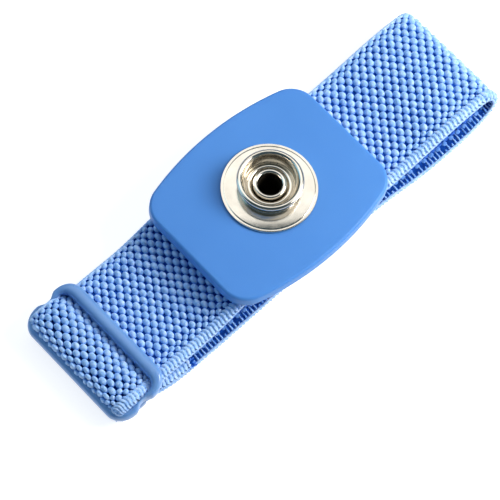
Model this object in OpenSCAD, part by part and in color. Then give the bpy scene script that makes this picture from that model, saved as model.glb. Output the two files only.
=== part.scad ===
// Anti-static wrist strap: an elastic conductive band lying as a flattened loop, with a soft cover
// plate and snap stud riveted to its upper run and a three-bar slide at its left end.
// X runs along the band with the slide at -X, Y runs across it, and the band lies on Z = 0.
// Millimetres. The origin is under the middle of the whole strap, at the surface it lies on.

/* [Band] */
// Width of the woven elastic band
band_w = 20; // [16:0.5:20]
// Thickness of the band where it lies free
band_t = 1.15; // [0.9:0.05:1.2]
// Thickness of the band where it is drawn tight round the slide's middle bar
tight_t = 0.95; // [0.8:0.05:0.95]
// Outer radius of the band's turn at the end away from the slide
turn_r = 2.85; // [2.5:0.05:3.1]
// Distance from the stud's axis to the centre of that turn
turn_x = 37.13; // [35:0.01:60]
// How far the lower run lies to the front of the upper run
run_offset = 0.8; // [0:0.1:1]

/* [Conductive yarns] */
// Number of silvered yarns on the skin side of the band
yarn_count = 5; // [3:2:5]
// Distance between two yarns
yarn_pitch = 3.2; // [2.5:0.1:3.4]
// Width of a yarn
yarn_w = 0.55; // [0.3:0.05:0.8]
// Height of a yarn above the weave
yarn_t = 0.05; // [0.03:0.01:0.05]

/* [Cover plate] */
// Length of the cover plate along the band
plate_l = 32.5; // [30:0.5:33]
// Width of the cover plate across its bowed middle
plate_w = 27; // [25.4:0.1:28]
// Thickness of the cover plate
plate_t = 2.1; // [1.6:0.1:2.6]
// Radius of the plate's corners in plan
plate_corner_r = 4.5; // [3:0.1:5.5]
// Radius of the bowed front and back sides
plate_bow_r = 50; // [45:1:90]
// Radius of the plate's rounded top edge
plate_edge_r = 0.6; // [0.4:0.1:1]

/* [Snap stud] */
// Radius of the stud's flange
flange_r = 7.45; // [7:0.05:8]
// Radius of the stud's neck
neck_r = 4.4; // [4.2:0.05:4.6]
// Radius of the stud's rolled head, a 10 mm snap
head_r = 5.15; // [5:0.05:5.3]
// Height of the stud above the cover plate
stud_h = 3.45; // [3.2:0.05:3.8]
// Inner radius of the eyelet's barrel
eyelet_bore_r = 1.8; // [1.5:0.05:1.8]
// Radius of the contact cap that touches the skin
cap_r = 7.1; // [6.8:0.05:7.4]

/* [Slide] */
// Width of the slide across the band
slide_w = 22.6; // [22.6:0.1:24]
// Width of each outer bar along the band
bar_w = 2.1; // [1.9:0.05:2.1]
// Thickness of each outer bar
bar_t = 2; // [1.9:0.05:2]
// Radius of the slide's corners in plan
slide_corner_r = 3; // [2:0.1:3.5]
// Radius of the round middle bar
mid_bar_r = 0.95; // [0.8:0.05:0.95]

/* [Hidden] */
$fn = 96;

// Colours
plastic_blue = [0.34, 0.58, 0.90];
slide_blue = [0.38, 0.55, 0.78];
weave_blue = [0.52, 0.70, 0.93];
thread_blue = [0.66, 0.79, 0.95];
nickel = [0.80, 0.78, 0.74];
yarn_grey = [0.62, 0.64, 0.68];

// Heights of the band's centre line
lower_z = band_t / 2;
upper_z = 3.3;
clamp_z = 6.275;
right_z = 2 * turn_r - band_t / 2;

// Stations along the band, measured from the stud's axis
clamp_left = -9.5;
clamp_right = 7.5;
left_rise_start = -24;
right_dip = 17.5;
right_dip_z = 3.35;
right_swell = 33.5;
left_run_end = -30.8;
ply_end = -26.5;

// Slide: the middle bar carries the band's sewn loop, and the outer bars press on the band
mid_x = -35.9;
mid_z = mid_bar_r + tight_t + 0.1;
far_x = -31.95;
far_z = 4.95;
near_x = -40.03;
near_z = 2.75;
rail_mid_z = 3.5;
bar_corner_r = 0.9;
slot_half_w = band_w / 2 + 0.1;

// Sideways positions: the upper run, the slide and the lower run step to the front in turn
upper_y = -0.35;
slide_y = upper_y - run_offset / 2;
lower_y = upper_y - run_offset;

// The whole strap is centred on the origin lengthways
left_end = near_x - bar_w / 2;
right_end = turn_x + turn_r;
stud_x = -(left_end + right_end) / 2;
stud_y = 0.35;

// Plate and stud levels
plate_x = -0.35;
plate_y = -stud_y;
plate_z = clamp_z + band_t / 2 + 0.05;
stud_z = plate_z + plate_t;
barrel_r = eyelet_bore_r + 0.3;
barrel_hole_r = barrel_r + 0.05;
cap_top = clamp_z - band_t / 2 - yarn_t;

// Hem levels
hem_z = band_t + 0.15 + band_t / 2;
hem_left = -33.5;
free_z = tight_t / 2 + 0.05;
free_right = -39.4;
free_left = -40.05;

// ---- Paths in side view: points are [x, z] ----

function arc(c, r, from, to, n) =
    [for (i = [0:n]) let (a = from + (to - from) * i / n) c + r * [cos(a), sin(a)]];

function ease(p, q, n) =
    [for (i = [0:n]) let (u = i / n, s = u * u * (3 - 2 * u))
        [p[0] + (q[0] - p[0]) * u, p[1] + (q[1] - p[1]) * s]];

function heading(p, i) =
    let (d = p[min(i + 1, len(p) - 1)] - p[max(i - 1, 0)]) d / norm(d);

function beside(p, d) =
    [for (i = [0:len(p) - 1]) let (h = heading(p, i)) p[i] + d * [-h[1], h[0]]];

function backwards(p) = [for (i = [len(p) - 1:-1:0]) p[i]];

left_path = concat([[left_run_end, upper_z]],
    ease([left_rise_start, upper_z], [clamp_left - 1, clamp_z], 14), [[clamp_left, clamp_z]]);

// Beyond the plate the run sags, then swells towards the turn as springy elastic does
right_path = concat([[clamp_right, clamp_z]],
    ease([clamp_right + 0.5, clamp_z], [right_dip - 0.5, right_dip_z], 12),
    ease([right_dip + 0.5, right_dip_z], [right_swell, right_z], 12), [[turn_x, right_z]]);

// Under the far bar, over the middle bar, down the slot and out under the near bar
over_bar_path = concat([[free_right, free_z]],
    arc([free_right, free_z + 1], 1, 280, 360, 6),
    arc([mid_x, mid_z], mid_bar_r + 0.1 + 1.5 * tight_t, 180, 60, 16),
    [[-33.1, upper_z], [left_run_end, upper_z]]);

loop_path = concat([[mid_x + 1, mid_z - mid_bar_r - 0.05 - tight_t / 2]],
    arc([mid_x, mid_z], mid_bar_r + 0.05 + tight_t / 2, 270, 30, 24),
    [[hem_left - 0.5, hem_z], [hem_left, hem_z]]);

// ---- Building blocks ----

module place(y = 0) {
    translate([stud_x, stud_y + y, 0]) children();
}

// A flat outline in side view, drawn out across the band
module across(w) {
    translate([0, w / 2, 0]) rotate([90, 0, 0]) linear_extrude(w) children();
}

// A strip of cloth along a path, its faces at the distances lo and hi from the path
module ply(path, lo, hi, w) {
    across(w) polygon(concat(beside(path, hi), backwards(beside(path, lo))));
}

module band(path, t = band_t, w = band_w) {
    ply(path, -t / 2, t / 2, w);
}

// The conductive yarns on one face of the band: face is 1 for above the path and -1 for below
module yarns(path, face) {
    lo = face > 0 ? band_t / 2 : -band_t / 2 - yarn_t;
    for (i = [0:yarn_count - 1])
        translate([0, (i - (yarn_count - 1) / 2) * yarn_pitch, 0])
            ply(path, lo, lo + yarn_t, yarn_w);
}

module ring_2d(r, t) {
    difference() {
        circle(r);
        circle(r - t);
    }
}

module rounded_2d(w, h, r) {
    square([w - 2 * r, h], center = true);
    square([w, h - 2 * r], center = true);
    for (x = [-1, 1], y = [-1, 1])
        translate([x * (w / 2 - r), y * (h / 2 - r)]) circle(r);
}

// One stitch: a bar of thread on the cloth with both ends going down through it
module stitch(top, depth, length) {
    leg = 0.26;
    translate([-leg / 2, -length / 2, top]) cube([leg, length, 0.14]);
    for (y = [-1, 1])
        translate([-leg / 2, y * (length - leg) / 2 - leg / 2, top - depth])
            cube([leg, leg, depth]);
}

module stitch_row(x, top, depth, w = band_w - 2) {
    count = 9;
    pitch = w / count;
    for (i = [0:count - 1])
        translate([x, (i - (count - 1) / 2) * pitch, 0]) stitch(top, depth, 0.72 * pitch);
}

// ---- Cover plate ----

// Outline of the plate, drawn in from its edge: straight ends, bowed sides and round corners
function plate_outline(inset) =
    let (
        r = plate_corner_r - inset,
        bow = plate_bow_r - inset,
        corner_x = plate_l / 2 - plate_corner_r,
        bow_y = plate_bow_r - plate_w / 2,
        corner_y = sqrt(pow(plate_bow_r - plate_corner_r, 2) - pow(corner_x, 2)) - bow_y,
        turn = atan2(corner_y + bow_y, corner_x),
        quarter = arc([corner_x, corner_y], r, 0, turn, 8),
        bow_end = 90 - turn,
        side = arc([0, -bow_y], bow, 90 - 0.75 * bow_end, 90 + 0.75 * bow_end, 6),
        half = concat(quarter, side, [for (p = backwards(quarter)) [-p[0], p[1]]])
    )
    concat(half, [for (p = backwards(half)) [p[0], -p[1]]]);

// The plate's body in levels, each [height, how far the outline is drawn in]
module plate_body() {
    levels = concat(
        [[0, 0.25], [0.25, 0]],
        [for (a = [0:22.5:90]) [plate_t - plate_edge_r * (1 - sin(a)), plate_edge_r * (1 - cos(a))]]
    );
    rings = [for (l = levels) [for (p = plate_outline(l[1])) [p[0], p[1], l[0]]]];
    n = len(rings[0]);
    top = (len(rings) - 1) * n;
    polyhedron(
        points = [for (ring = rings) each ring],
        faces = concat(
            [[for (i = [0:n - 1]) i]],
            [for (k = [0:n:top - n], i = [0:n - 1]) [k + i, k + n + i, k + n + (i + 1) % n, k + (i + 1) % n]],
            [[for (i = [n - 1:-1:0]) top + i]]
        )
    );
}

module cover_plate() {
    color(plastic_blue) place() difference() {
        translate([plate_x, plate_y, plate_z]) plate_body();
        translate([0, 0, plate_z - 1]) cylinder(r = barrel_hole_r, h = plate_t + 2);
    }
}

// ---- Stud, eyelet and contact cap ----

// Heights above the cover plate
floor_top = 1.15;
floor_t = 0.4;
flange_edge_t = 0.4;
saucer_rise = 0.3;
// The head's rolled rim, with a short straight land at its widest
roll_r = 0.45;
land_h = 0.4;
cup_floor_r = 3.6;
// The pressed ring round the cup's floor
bead_r = 3.18;
bead_t = 0.38;

// Half of the stud's section: a saucer flange, a neck, a rolled head and a cup with a ringed floor
module stud_outline() {
    head_z = stud_h - roll_r;
    saucer = [for (k = [8:-1:0]) [neck_r + (flange_r - neck_r) * k / 8,
        flange_edge_t + saucer_rise * (1 - pow(k / 8, 1.6))]];
    difference() {
        union() {
            polygon(concat(
                [[barrel_hole_r, 0], [flange_r - flange_edge_t / 2, 0], [flange_r, flange_edge_t / 2]],
                saucer,
                [[neck_r, head_z - 0.9], [head_r, head_z - land_h / 2], [head_r, head_z + land_h / 2],
                 [head_r - roll_r, stud_h], [head_r - 2 * roll_r, head_z], [cup_floor_r, floor_top],
                 [barrel_hole_r, floor_top]]));
            translate([head_r - roll_r, head_z]) circle(roll_r);
            translate([flange_r - flange_edge_t / 2, flange_edge_t / 2]) circle(flange_edge_t / 2);
            translate([bead_r, floor_top - 0.04]) circle(bead_t);
        }
        translate([0, -1]) square([neck_r - 0.5, 1 + floor_top - floor_t]);
    }
}

module snap_stud() {
    color(nickel) place() translate([0, 0, stud_z]) rotate_extrude() stud_outline();
}

module eyelet() {
    flange_z = cap_top - 0.6;
    roll = 0.4;
    rim_z = stud_z + floor_top + roll;
    color(nickel) place() rotate_extrude() {
        translate([eyelet_bore_r, flange_z]) square([cap_r - 0.6 - eyelet_bore_r, 0.4]);
        translate([eyelet_bore_r, flange_z]) square([barrel_r - eyelet_bore_r, rim_z - flange_z]);
        translate([eyelet_bore_r + roll, rim_z]) circle(roll);
    }
}

module contact_cap() {
    wall = 0.4;
    face_z = cap_top - 1.15;
    color(nickel) place() rotate_extrude() {
        translate([0, face_z]) square([cap_r - wall, wall]);
        translate([cap_r - wall, face_z + wall]) square([wall, cap_top - face_z - wall]);
        translate([cap_r - wall, face_z + wall]) intersection() {
            circle(wall);
            translate([0, -wall]) square(wall);
        }
        translate([cap_r - 1.5, cap_top - 0.18]) square([1.3, 0.18]);
    }
}

// ---- Band ----

module band_left_run() {
    color(weave_blue) place(upper_y) band(left_path);
}

module band_clamped_run() {
    color(weave_blue) difference() {
        place(upper_y) band([[clamp_left, clamp_z], [clamp_right, clamp_z]]);
        place() cylinder(r = barrel_hole_r, h = 2 * clamp_z);
    }
}

module band_right_run() {
    color(weave_blue) place(upper_y) band(right_path);
}

// The turn steps sideways from the upper run to the lower run as it comes down
module turned(r, t, w) {
    lean = run_offset / (right_z - lower_z);
    multmatrix([[1, 0, 0, 0], [0, 1, lean, 0], [0, 0, 1, 0]])
        across(w) intersection() {
            ring_2d(r, t);
            translate([0, -r]) square([r, 2 * r]);
        }
}

module band_turn() {
    color(weave_blue) place((upper_y + lower_y) / 2) translate([turn_x, 0, turn_r])
        turned(turn_r, band_t, band_w);
}

module band_lower_right() {
    color(weave_blue) place(lower_y) band([[0, lower_z], [turn_x, lower_z]]);
}

module band_lower_left() {
    color(weave_blue) place(lower_y) band([[ply_end, lower_z], [0, lower_z]]);
}

// The sewn end: a ply on the surface, a loop round the middle bar and a hem on top of the ply
module band_end_ply() {
    color(weave_blue) place(slide_y) band([[mid_x + 1, lower_z], [ply_end, lower_z]]);
}

module band_end_loop() {
    color(weave_blue) place(slide_y) band(loop_path, tight_t);
}

module band_end_hem() {
    color(weave_blue) place(slide_y) band([[hem_left, hem_z], [ply_end, hem_z]]);
}

module end_hem_stitching() {
    color(thread_blue) place(slide_y) for (x = [-29, -27.6])
        stitch_row(x, hem_z + band_t / 2, 2 * band_t);
}

// The upper run drawn over the middle bar, and its free end beyond, under the near bar
module band_over_bar() {
    color(weave_blue) place(slide_y) band(over_bar_path, tight_t);
}

module free_end() {
    color(weave_blue) place(slide_y)
        band([[free_left, free_z], [free_right - 0.08, free_z]], tight_t, band_w - 1.5);
}

module free_end_bartack() {
    color(thread_blue) place(slide_y)
        stitch_row((free_left + free_right) / 2, free_z + tight_t / 2, 0.8 * tight_t, band_w - 3);
}

// ---- Conductive yarns on the skin side ----

module yarns_left_run() {
    color(yarn_grey) place(upper_y) yarns(left_path, -1);
}

module yarns_clamped_run() {
    color(yarn_grey) difference() {
        place(upper_y) yarns([[clamp_left, clamp_z], [clamp_right, clamp_z]], -1);
        place() cylinder(r = barrel_hole_r, h = 2 * clamp_z);
    }
}

module yarns_right_run() {
    color(yarn_grey) place(upper_y) yarns(right_path, -1);
}

module yarns_turn() {
    color(yarn_grey) place((upper_y + lower_y) / 2) translate([turn_x, 0, turn_r])
        for (i = [0:yarn_count - 1])
            translate([0, (i - (yarn_count - 1) / 2) * yarn_pitch, 0])
                turned(turn_r - band_t, yarn_t, yarn_w);
}

module yarns_lower_right() {
    color(yarn_grey) place(lower_y) yarns([[0, lower_z], [turn_x, lower_z]], 1);
}

module yarns_lower_left() {
    color(yarn_grey) place(lower_y) yarns([[ply_end, lower_z], [0, lower_z]], 1);
}

// ---- Slide: one moulding with two outer bars, two rails and a dropped middle bar ----

module slide_plan() {
    notch_r = 1.6;
    length = far_x - near_x + bar_w;
    difference() {
        translate([(far_x + near_x) / 2, 0]) rounded_2d(length, slide_w, slide_corner_r);
        translate([near_x + bar_w / 2 - 0.05, -slot_half_w])
            square([far_x - near_x - bar_w + 0.1, 2 * slot_half_w]);
        for (y = [-1, 1])
            translate([mid_x, y * (slide_w / 2 + 0.9)]) circle(notch_r);
    }
}

module slide_bars() {
    across(slide_w)
        for (p = [[near_x, near_z], [far_x, far_z]])
            translate(p) rounded_2d(bar_w, bar_t, bar_corner_r);
}

// The rails step down from the far bar to the near bar, with a lug under each for the middle bar
module slide_rails() {
    half_t = bar_t / 2;
    rail_w = slide_w / 2 - slot_half_w;
    lug = 1.1;
    lug_w = 0.45;
    rail = [[near_x, near_z], [mid_x, rail_mid_z], [far_x, far_z]];
    for (y = [-1, 1]) {
        translate([0, y * (slot_half_w + rail_w / 2), 0])
            across(rail_w) polygon(concat(
                [for (p = rail) p + [0, half_t]], [for (p = backwards(rail)) p - [0, half_t]]));
        translate([mid_x - lug / 2, y * (slot_half_w + lug_w / 2) - lug_w / 2, mid_z - 0.6])
            cube([lug, lug_w, rail_mid_z - mid_z + 0.6]);
    }
}

module slide_frame() {
    color(slide_blue) place(slide_y) {
        intersection() {
            linear_extrude(8) slide_plan();
            union() {
                slide_bars();
                slide_rails();
            }
        }
        translate([mid_x, 0, mid_z]) rotate([90, 0, 0])
            cylinder(r = mid_bar_r, h = 2 * slot_half_w + 0.6, center = true);
    }
}

cover_plate();
snap_stud();
eyelet();
contact_cap();
band_left_run();
band_clamped_run();
band_right_run();
band_turn();
band_lower_right();
band_lower_left();
band_end_ply();
band_end_loop();
band_end_hem();
end_hem_stitching();
band_over_bar();
free_end();
free_end_bartack();
slide_frame();
yarns_left_run();
yarns_clamped_run();
yarns_right_run();
yarns_turn();
yarns_lower_right();
yarns_lower_left();
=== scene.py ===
"""ESD wrist strap: the finish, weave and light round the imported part."""

import math

import bpy
import numpy as np
from mathutils import Matrix, Vector


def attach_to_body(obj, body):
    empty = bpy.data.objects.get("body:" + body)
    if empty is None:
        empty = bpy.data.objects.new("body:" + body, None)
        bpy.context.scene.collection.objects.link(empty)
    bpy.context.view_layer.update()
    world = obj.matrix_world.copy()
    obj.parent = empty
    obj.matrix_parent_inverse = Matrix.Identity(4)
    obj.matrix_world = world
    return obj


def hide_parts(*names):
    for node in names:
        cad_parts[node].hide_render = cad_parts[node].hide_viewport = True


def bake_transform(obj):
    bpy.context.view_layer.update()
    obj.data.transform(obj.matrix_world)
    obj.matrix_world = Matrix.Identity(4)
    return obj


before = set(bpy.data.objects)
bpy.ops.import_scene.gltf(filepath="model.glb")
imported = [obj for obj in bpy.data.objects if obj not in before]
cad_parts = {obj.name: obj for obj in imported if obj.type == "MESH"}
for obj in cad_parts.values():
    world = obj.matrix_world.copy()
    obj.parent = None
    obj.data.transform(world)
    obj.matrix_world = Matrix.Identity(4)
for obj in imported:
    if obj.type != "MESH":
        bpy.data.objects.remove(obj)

MM = 0.001
# The stud's axis in the part's frame; every millimetre station below is measured from it
STUD_X, STUD_Y = 0.55, 0.35
rng = np.random.default_rng(7)

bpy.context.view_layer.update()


# ---------------------------------------------------------------- materials


def srgb(r, g, b):
    """A colour given as 0 to 255 on screen, as the linear values a shader takes."""
    return tuple(
        ((c / 255 + 0.055) / 1.055) ** 2.4 if c > 10 else c / 255 / 12.92
        for c in (r, g, b)
    ) + (1.0,)


class Shader:
    """A material with one Principled node, and short calls for adding procedural nodes to it."""

    def __init__(self, name, roughness, metallic=0.0, ior=1.5, **numbers):
        self.material = bpy.data.materials.new(name)
        self.material.use_nodes = True
        self.tree = self.material.node_tree
        self.main = self.tree.nodes["Principled BSDF"]
        self.main.inputs["Roughness"].default_value = roughness
        self.main.inputs["Metallic"].default_value = metallic
        self.main.inputs["IOR"].default_value = ior
        for key, value in numbers.items():
            self.main.inputs[key.replace("_", " ")].default_value = value

    def node(self, kind, **inputs):
        n = self.tree.nodes.new(kind)
        for key, value in inputs.items():
            n.inputs[key].default_value = value
        return n

    def link(self, a, b):
        self.tree.links.new(a, b)

    def noise(self, scale, detail=2.0, stretch=(1, 1, 1)):
        """Noise over the piece's own coordinates; a stretch below 1 draws it out along that axis."""
        place = self.node("ShaderNodeTexCoord")
        scaled = self.node("ShaderNodeMapping")
        scaled.inputs["Scale"].default_value = stretch
        self.link(place.outputs["Object"], scaled.inputs["Vector"])
        n = self.node("ShaderNodeTexNoise", Scale=scale, Detail=detail)
        self.link(scaled.outputs["Vector"], n.inputs["Vector"])
        return n.outputs["Fac"]

    def ramp(self, fac, *stops):
        """Colours along fac, each stop given as (place from 0 to 1, colour)."""
        r = self.tree.nodes.new("ShaderNodeValToRGB")
        while len(r.color_ramp.elements) < len(stops):
            r.color_ramp.elements.new(0.5)
        for element, (at, colour) in zip(r.color_ramp.elements, stops):
            element.position = at
            element.color = colour
        self.link(fac, r.inputs["Fac"])
        return r.outputs["Color"]

    def colour(self, value):
        if isinstance(value, tuple):
            self.main.inputs["Base Color"].default_value = value
        else:
            self.link(value, self.main.inputs["Base Color"])
        return self

    def rough(self, fac, low, high):
        """Roughness that follows fac between low and high."""
        m = self.node("ShaderNodeMapRange")
        m.inputs["To Min"].default_value = low
        m.inputs["To Max"].default_value = high
        self.link(fac, m.inputs["Value"])
        self.link(m.outputs["Result"], self.main.inputs["Roughness"])
        return self

    def bump(self, height, distance, strength=1.0):
        """Surface relief of up to distance metres."""
        b = self.node("ShaderNodeBump", Distance=distance, Strength=strength)
        self.link(height, b.inputs["Height"])
        self.link(b.outputs["Normal"], self.main.inputs["Normal"])
        return self


def yarn_shader(name, dark, middle, light, sheen, gloss=0.35):
    """Bulked multifilament yarn: fine filaments along the band and a soft mottle."""
    s = Shader(name, 0.68, Sheen_Weight=sheen, Sheen_Roughness=0.45, Specular_IOR_Level=gloss)
    s.main.inputs["Sheen Tint"].default_value = light
    mottle = s.noise(1900, 3.0)
    s.colour(s.ramp(mottle, (0.34, dark), (0.5, middle), (0.66, light)))
    filaments = s.noise(2600, 2.0, (0.22, 2.2, 0.5))
    s.bump(filaments, 0.00009, 0.7)
    return s


yarn = yarn_shader(
    "woven_yarn", srgb(136, 182, 238), srgb(161, 199, 246), srgb(186, 213, 250), 0.15
)
# Painted shade: a darker copy of the same yarn, for yarn that turns under or lies deeper, where less light
# reaches it.
shaded = yarn_shader(
    "yarn_in_half_shade", srgb(118, 165, 230), srgb(137, 181, 239), srgb(156, 196, 246), 0.1, 0.25
)
# Painted shade: a still darker copy of the same yarn, for the lowest rings of each bump and for yarn deep
# in shade.
deep_shade_yarn = yarn_shader(
    "yarn_in_shade", srgb(84, 135, 211), srgb(101, 152, 223), srgb(118, 166, 232), 0.05, 0.15
)
chain = yarn_shader(
    "edge_yarn", srgb(136, 176, 230), srgb(162, 196, 240), srgb(188, 212, 247), 0.2
)
ground = yarn_shader(
    "ground_yarn", srgb(5, 44, 118), srgb(9, 57, 138), srgb(17, 72, 160), 0.0, 0.05
)
skin_yarn = yarn_shader(
    "skin_side_yarn", srgb(22, 66, 160), srgb(48, 100, 196), srgb(82, 134, 220), 0.05, 0.15
)
thread = yarn_shader(
    "sewing_thread", srgb(140, 180, 235), srgb(165, 200, 244), srgb(190, 215, 250), 0.2
)
silver_yarn = Shader("silver_yarn", 0.42, metallic=0.7)
silver_yarn.colour(
    silver_yarn.ramp(
        silver_yarn.noise(1500),
        (0.35, srgb(120, 124, 132)),
        (0.7, srgb(190, 193, 198)),
    )
)
silver_yarn.bump(silver_yarn.noise(2600, 2.0, (0.22, 2.2, 0.5)), 0.00004, 0.5)
rubber = Shader("rubber_thread", 0.6).colour(srgb(214, 214, 206))

soft_plastic = Shader(
    "soft_plastic",
    0.4,
    Subsurface_Weight=0.1,
    Subsurface_Scale=0.0012,
    Specular_IOR_Level=0.14,
)
soft_plastic.main.inputs["Subsurface Radius"].default_value = (0.3, 0.6, 1.0)
soft_plastic.colour(
    soft_plastic.ramp(
        soft_plastic.noise(60, 3.0),
        (0.3, srgb(76, 133, 203)),
        (0.7, srgb(81, 138, 208)),
    )
)
soft_plastic.rough(soft_plastic.noise(500, 3.0), 0.32, 0.42)
soft_plastic.bump(soft_plastic.noise(5200, 3.0), 0.00002, 0.4)

slide_plastic = Shader(
    "slide_plastic",
    0.3,
    Subsurface_Weight=0.15,
    Subsurface_Scale=0.002,
    Coat_Weight=0.15,
    Coat_Roughness=0.15,
)
slide_plastic.main.inputs["Subsurface Radius"].default_value = (0.4, 0.7, 1.0)
slide_plastic.colour(
    slide_plastic.ramp(
        slide_plastic.noise(120, 3.0),
        (0.3, srgb(97, 140, 197)),
        (0.7, srgb(106, 149, 203)),
    )
)
slide_plastic.rough(slide_plastic.noise(420, 3.0), 0.24, 0.36)
slide_plastic.bump(slide_plastic.noise(3000, 2.0), 0.00001, 0.2)

nickel = Shader("nickel", 0.14, metallic=1.0)
nickel.colour(
    nickel.ramp(
        nickel.noise(260, 3.0),
        (0.3, srgb(202, 194, 180)),
        (0.7, srgb(219, 212, 199)),
    )
)
nickel.rough(nickel.noise(900, 4.0), 0.1, 0.24)
nickel.bump(nickel.noise(1400, 3.0, (1, 1, 0.2)), 0.000004, 0.15)

steel = Shader("stainless", 0.26, metallic=1.0, Anisotropic=0.4)
steel.colour(
    steel.ramp(
        steel.noise(300, 3.0), (0.3, srgb(196, 196, 194)), (0.7, srgb(216, 216, 214))
    )
)
steel.bump(steel.noise(2400, 2.0), 0.000005, 0.3)

# Painted shade: a dark brown, rough metal for the eyelet's bore and the cap's inner face below it, so the
# hole through the stud looks dark; the real walls there are the same nickel and steel.
painted_shade_metal = Shader("painted_shade_metal", 0.6, metallic=1.0)
painted_shade_metal.colour(
    painted_shade_metal.ramp(
        painted_shade_metal.noise(900, 3.0), (0.3, srgb(70, 62, 50)), (0.7, srgb(88, 78, 64))
    )
)
painted_shade_metal.bump(painted_shade_metal.noise(3000, 2.0), 0.00001, 0.4)

floor_paper = Shader("floor_paper", 0.9, Emission_Strength=0.8).colour((0.45, 0.45, 0.45, 1))
floor_paper.main.inputs["Emission Color"].default_value = (1, 1, 1, 1)


# ---------------------------------------------------------------- meshes


class Pile:
    """Vertices and faces gathered for one mesh, with a material number for each face."""

    def __init__(self):
        self.points, self.faces, self.numbers, self.count = [], [], [], 0

    def add(self, points, faces, number=0):
        points = np.asarray(points, float)
        self.points.append(points)
        for f in faces:
            f = np.asarray(f)
            if len(f):
                self.faces.append(f + self.count)
                self.numbers.append(np.full(len(f), number))
        self.count += len(points)

    def build(self, name, materials, sharp=None):
        """Builds the mesh from millimetres measured from the stud's axis."""
        points = (np.concatenate(self.points) + np.array([STUD_X, STUD_Y, 0])) * MM
        mesh = bpy.data.meshes.new(name)
        sizes = np.concatenate([np.full(len(f), f.shape[1]) for f in self.faces])
        loops = np.concatenate([f.ravel() for f in self.faces])
        mesh.vertices.add(len(points))
        mesh.vertices.foreach_set("co", points.astype(np.float32).ravel())
        mesh.loops.add(len(loops))
        mesh.loops.foreach_set("vertex_index", loops.astype(np.int32))
        mesh.polygons.add(len(sizes))
        starts = np.concatenate([[0], np.cumsum(sizes)[:-1]])
        mesh.polygons.foreach_set("loop_start", starts.astype(np.int32))
        mesh.update(calc_edges=True)
        mesh.polygons.foreach_set(
            "material_index", np.concatenate(self.numbers).astype(np.int32)
        )
        mesh.polygons.foreach_set("use_smooth", np.ones(len(sizes), bool))
        if sharp:
            mesh.set_sharp_from_angle(angle=math.radians(sharp))
        for m in materials:
            mesh.materials.append(m.material)
        mesh.validate()
        obj = bpy.data.objects.new(name, mesh)
        bpy.context.scene.collection.objects.link(obj)
        return obj


def grid_faces(rows, columns, close_rows=False, close_columns=False):
    """Quads over a grid of points stored row by row."""
    i = np.arange(rows if close_rows else rows - 1)
    j = np.arange(columns if close_columns else columns - 1)
    i, j = np.meshgrid(i, j, indexing="ij")
    i, j = i.ravel(), j.ravel()
    i2, j2 = (i + 1) % rows, (j + 1) % columns
    return np.stack(
        [i * columns + j, i2 * columns + j, i2 * columns + j2, i * columns + j2], 1
    )


def smooth_line(points, step=0.1, blur=0.35):
    """Points along a line, evenly spaced, with its corners eased over about blur mm."""
    p = np.array(points, float)
    d = np.concatenate([[0], np.cumsum(np.linalg.norm(np.diff(p, axis=0), axis=1))])
    n = max(int(d[-1] / step), 2)
    q = np.stack([np.interp(np.linspace(0, d[-1], n), d, p[:, k]) for k in range(p.shape[1])], 1)
    reach = int(3 * blur / step)
    if reach < 1:
        return q
    kernel = np.exp(-0.5 * (np.arange(-reach, reach + 1) * step / blur) ** 2)
    kernel /= kernel.sum()
    padded = np.concatenate(
        [2 * q[0] - q[reach:0:-1], q, 2 * q[-1] - q[-2 : -reach - 2 : -1]]
    )
    return np.stack([np.convolve(padded[:, k], kernel, "valid") for k in range(q.shape[1])], 1)


def revolve(pile, profile, number=0, turns=144, closed=True):
    """A turned part: profile points are [radius, height]."""
    p = np.array(profile, float)
    a = np.linspace(0, 2 * math.pi, turns, endpoint=False)
    x = np.outer(np.cos(a), p[:, 0])
    y = np.outer(np.sin(a), p[:, 0])
    z = np.broadcast_to(p[:, 1], x.shape)
    pile.add(
        np.stack([x, y, z], -1).reshape(-1, 3),
        [grid_faces(turns, len(p), True, closed)],
        number,
    )


def rounded(points, radii, steps=8):
    """A profile whose corners are replaced with arcs of the given radii."""
    p = np.array(points, float)
    out = []
    for i, r in enumerate(radii):
        a, b, c = p[i - 1], p[i], p[(i + 1) % len(p)]
        if r <= 0:
            out.append(b)
            continue
        u, v = (a - b) / np.linalg.norm(a - b), (c - b) / np.linalg.norm(c - b)
        half = math.acos(max(-1, min(1, float(u @ v)))) / 2
        reach = min(r / math.tan(half), 0.49 * np.linalg.norm(a - b), 0.49 * np.linalg.norm(c - b))
        r = reach * math.tan(half)
        centre = b + (u + v) / np.linalg.norm(u + v) * r / math.sin(half)
        start, end = b + u * reach - centre, b + v * reach - centre
        a0, a1 = math.atan2(start[1], start[0]), math.atan2(end[1], end[0])
        turn = (a1 - a0 + math.pi) % (2 * math.pi) - math.pi
        for k in range(steps + 1):
            t = a0 + turn * k / steps
            out.append(centre + r * np.array([math.cos(t), math.sin(t)]))
    return np.array(out)


def arc(centre, r, start, end, n=24):
    """Points round a circle from start to end degrees."""
    a = np.radians(np.linspace(start, end, n))
    return [(centre[0] + r * math.cos(t), centre[1] + r * math.sin(t)) for t in a]


def ease(p, q, n=16):
    """Points of a smooth rise from p to q, level at both ends."""
    u = np.linspace(0, 1, n)
    s = u * u * (3 - 2 * u)
    return [(p[0] + (q[0] - p[0]) * a, p[1] + (q[1] - p[1]) * b) for a, b in zip(u, s)]


# ---------------------------------------------------------------- the band's course

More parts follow.
